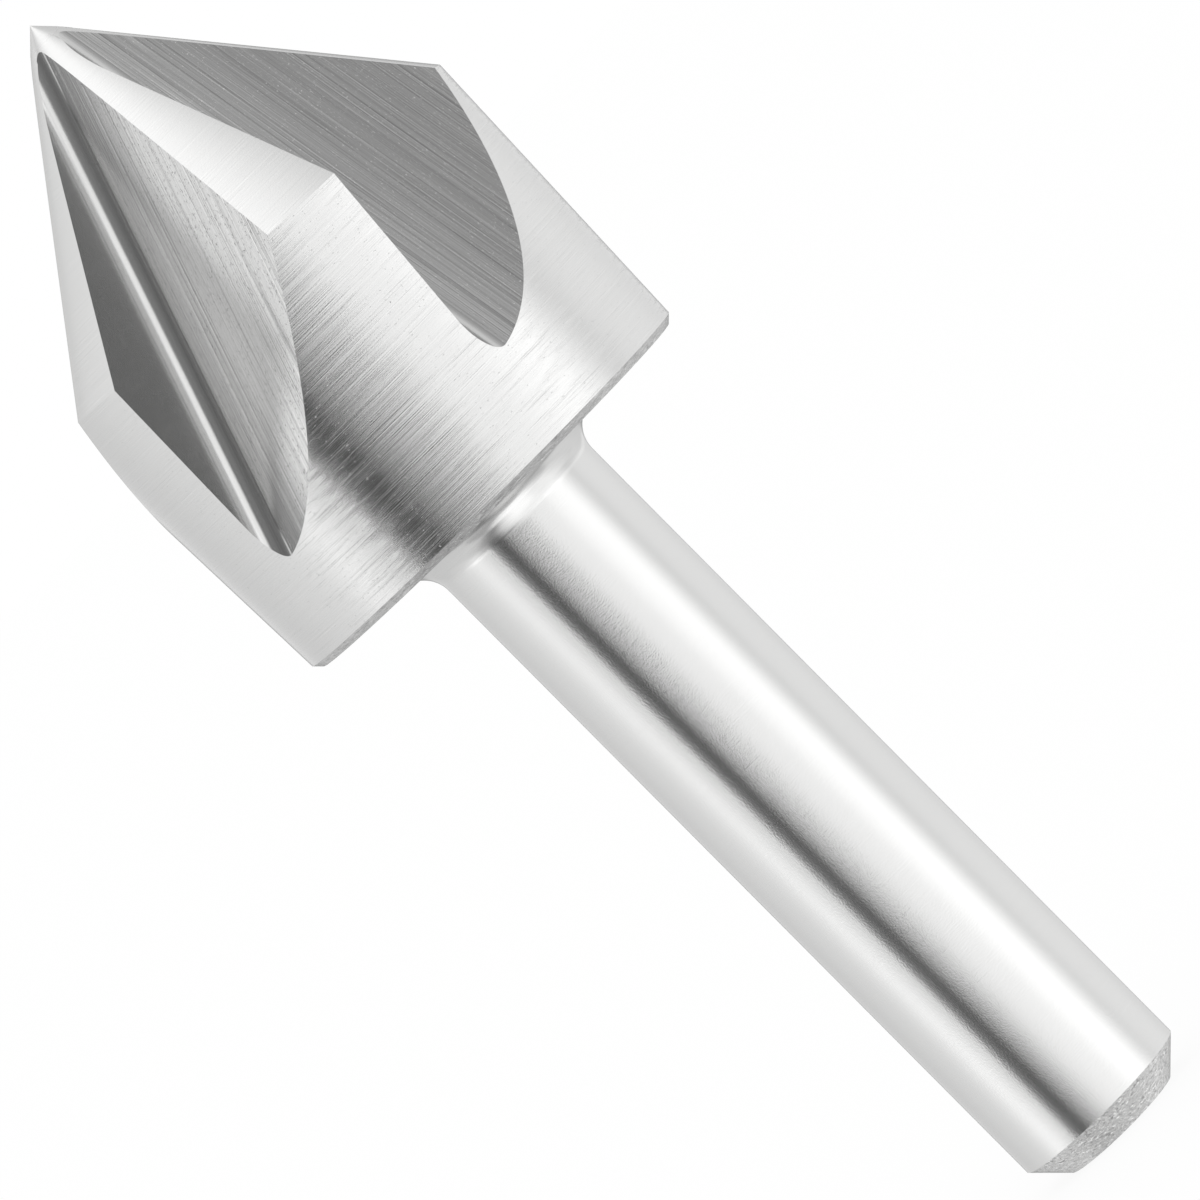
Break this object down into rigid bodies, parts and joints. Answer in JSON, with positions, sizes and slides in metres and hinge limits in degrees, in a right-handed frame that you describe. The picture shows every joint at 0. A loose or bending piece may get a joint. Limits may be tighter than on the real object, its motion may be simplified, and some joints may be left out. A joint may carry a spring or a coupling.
{
  "type": "countersink bit",
  "caption": "Fluted conical countersink bit in tool steel, with a tapered head and a plain round shank.",
  "frame": {"origin": "centre of the flat end of the shank", "axes": "+Z along the tool's axis from the shank end to the point; -Y looks at one conical land between two flutes"},
  "size_m": [0.0164, 0.0163, 0.0487],
  "materials": {
    "tool_steel": "ground high-speed steel: bright turned shank, fine grinding lines round the head and along the flutes"
  },
  "bodies": {
    "root": {"countersink_bit": "tool_steel"}
  },
  "joints": []
}
